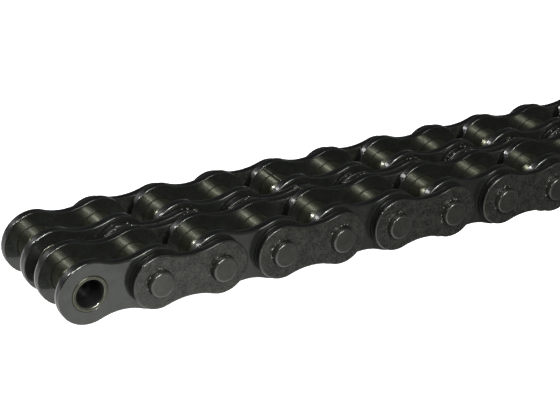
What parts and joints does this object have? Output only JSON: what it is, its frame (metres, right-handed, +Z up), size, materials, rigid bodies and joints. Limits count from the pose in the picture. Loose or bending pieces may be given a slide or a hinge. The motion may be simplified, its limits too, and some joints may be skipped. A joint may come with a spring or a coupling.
{
  "type": "roller chain",
  "caption": "Straight length of duplex bushed steel transmission chain with plates of figure-eight outline, dark oiled finish and open bushes at both ends",
  "frame": {"origin": "on the ground under the middle of the chain; the chain stands on the lower edges of its inner plates", "axes": "+X along the chain to its right end, +Y across the strands to the rear, +Z up; the pins lie along Y, 4.5 mm above the ground"},
  "size_m": [0.1138, 0.0218, 0.009],
  "materials": {
    "inner_plate_steel": "black oxide, oiled, worn to grey on the faces",
    "outer_plate_steel": "black oxide, oiled",
    "bush_steel": "polished dark steel, oiled",
    "pin_steel": "ground steel, oiled, riveted ends"
  },
  "bodies": {
    "link_01": {"link_01_front_strand_inner_plate_front": "inner_plate_steel", "link_01_front_strand_inner_plate_rear": "inner_plate_steel", "link_01_front_strand_bush_left": "bush_steel", "link_01_front_strand_bush_right": "bush_steel", "link_01_rear_strand_inner_plate_front": "inner_plate_steel", "link_01_rear_strand_inner_plate_rear": "inner_plate_steel", "link_01_rear_strand_bush_left": "bush_steel", "link_01_rear_strand_bush_right": "bush_steel"},
    "link_02": {"link_02_outer_plate_front": "outer_plate_steel", "link_02_middle_plate_front": "outer_plate_steel", "link_02_outer_plate_rear": "outer_plate_steel", "link_02_middle_plate_rear": "outer_plate_steel", "link_02_pin_left": "pin_steel", "link_02_pin_right": "pin_steel"},
    "link_03": {"link_03_front_strand_inner_plate_front": "inner_plate_steel", "link_03_front_strand_inner_plate_rear": "inner_plate_steel", "link_03_front_strand_bush_left": "bush_steel", "link_03_front_strand_bush_right": "bush_steel", "link_03_rear_strand_inner_plate_front": "inner_plate_steel", "link_03_rear_strand_inner_plate_rear": "inner_plate_steel", "link_03_rear_strand_bush_left": "bush_steel", "link_03_rear_strand_bush_right": "bush_steel"},
    "link_04": {"link_04_outer_plate_front": "outer_plate_steel", "link_04_middle_plate_front": "outer_plate_steel", "link_04_outer_plate_rear": "outer_plate_steel", "link_04_middle_plate_rear": "outer_plate_steel", "link_04_pin_left": "pin_steel", "link_04_pin_right": "pin_steel"},
    "link_05": {"link_05_front_strand_inner_plate_front": "inner_plate_steel", "link_05_front_strand_inner_plate_rear": "inner_plate_steel", "link_05_front_strand_bush_left": "bush_steel", "link_05_front_strand_bush_right": "bush_steel", "link_05_rear_strand_inner_plate_front": "inner_plate_steel", "link_05_rear_strand_inner_plate_rear": "inner_plate_steel", "link_05_rear_strand_bush_left": "bush_steel", "link_05_rear_strand_bush_right": "bush_steel"},
    "link_06": {"link_06_outer_plate_front": "outer_plate_steel", "link_06_middle_plate_front": "outer_plate_steel", "link_06_outer_plate_rear": "outer_plate_steel", "link_06_middle_plate_rear": "outer_plate_steel", "link_06_pin_left": "pin_steel", "link_06_pin_right": "pin_steel"},
    "link_07": {"link_07_front_strand_inner_link": "inner_plate_steel", "link_07_rear_strand_inner_link": "inner_plate_steel"},
    "link_08": {"link_08_pins_and_middle_plates": "outer_plate_steel", "link_08_outer_plate_front": "outer_plate_steel", "link_08_outer_plate_rear": "outer_plate_steel"},
    "link_09": {"link_09_front_strand_inner_link": "inner_plate_steel", "link_09_rear_strand_inner_link": "inner_plate_steel"},
    "link_10": {"link_10_pins_and_middle_plates": "outer_plate_steel", "link_10_outer_plate_front": "outer_plate_steel", "link_10_outer_plate_rear": "outer_plate_steel"},
    "link_11": {"link_11_front_strand_inner_plate_front": "inner_plate_steel", "link_11_front_strand_inner_plate_rear": "inner_plate_steel", "link_11_front_strand_bush_left": "bush_steel", "link_11_front_strand_bush_right": "bush_steel", "link_11_rear_strand_inner_plate_front": "inner_plate_steel", "link_11_rear_strand_inner_plate_rear": "inner_plate_steel", "link_11_rear_strand_bush_left": "bush_steel", "link_11_rear_strand_bush_right": "bush_steel"}
  },
  "joints": [
    {"name": "hinge_01", "type": "hinge", "parent": "link_02", "child": "link_01", "pos_m": [-0.04286, 0, 0.0045], "axis": [0, 1, 0], "range_deg": [-40, 40]},
    {"name": "hinge_02", "type": "hinge", "parent": "link_03", "child": "link_02", "pos_m": [-0.03334, 0, 0.0045], "axis": [0, 1, 0], "range_deg": [-40, 40]},
    {"name": "hinge_03", "type": "hinge", "parent": "link_04", "child": "link_03", "pos_m": [-0.02381, 0, 0.0045], "axis": [0, 1, 0], "range_deg": [-40, 40]},
    {"name": "hinge_04", "type": "hinge", "parent": "link_05", "child": "link_04", "pos_m": [-0.01429, 0, 0.0045], "axis": [0, 1, 0], "range_deg": [-40, 40]},
    {"name": "hinge_05", "type": "hinge", "parent": "link_06", "child": "link_05", "pos_m": [-0.00476, 0, 0.0045], "axis": [0, 1, 0], "range_deg": [-40, 40]},
    {"name": "hinge_06", "type": "hinge", "parent": "link_06", "child": "link_07", "pos_m": [0.00476, 0, 0.0045], "axis": [0, 1, 0], "range_deg": [-40, 40]},
    {"name": "hinge_07", "type": "hinge", "parent": "link_07", "child": "link_08", "pos_m": [0.01429, 0, 0.0045], "axis": [0, 1, 0], "range_deg": [-40, 40]},
    {"name": "hinge_08", "type": "hinge", "parent": "link_08", "child": "link_09", "pos_m": [0.02381, 0, 0.0045], "axis": [0, 1, 0], "range_deg": [-40, 40]},
    {"name": "hinge_09", "type": "hinge", "parent": "link_09", "child": "link_10", "pos_m": [0.03334, 0, 0.0045], "axis": [0, 1, 0], "range_deg": [-40, 40]},
    {"name": "hinge_10", "type": "hinge", "parent": "link_10", "child": "link_11", "pos_m": [0.04286, 0, 0.0045], "axis": [0, 1, 0], "range_deg": [-40, 40]}
  ]
}
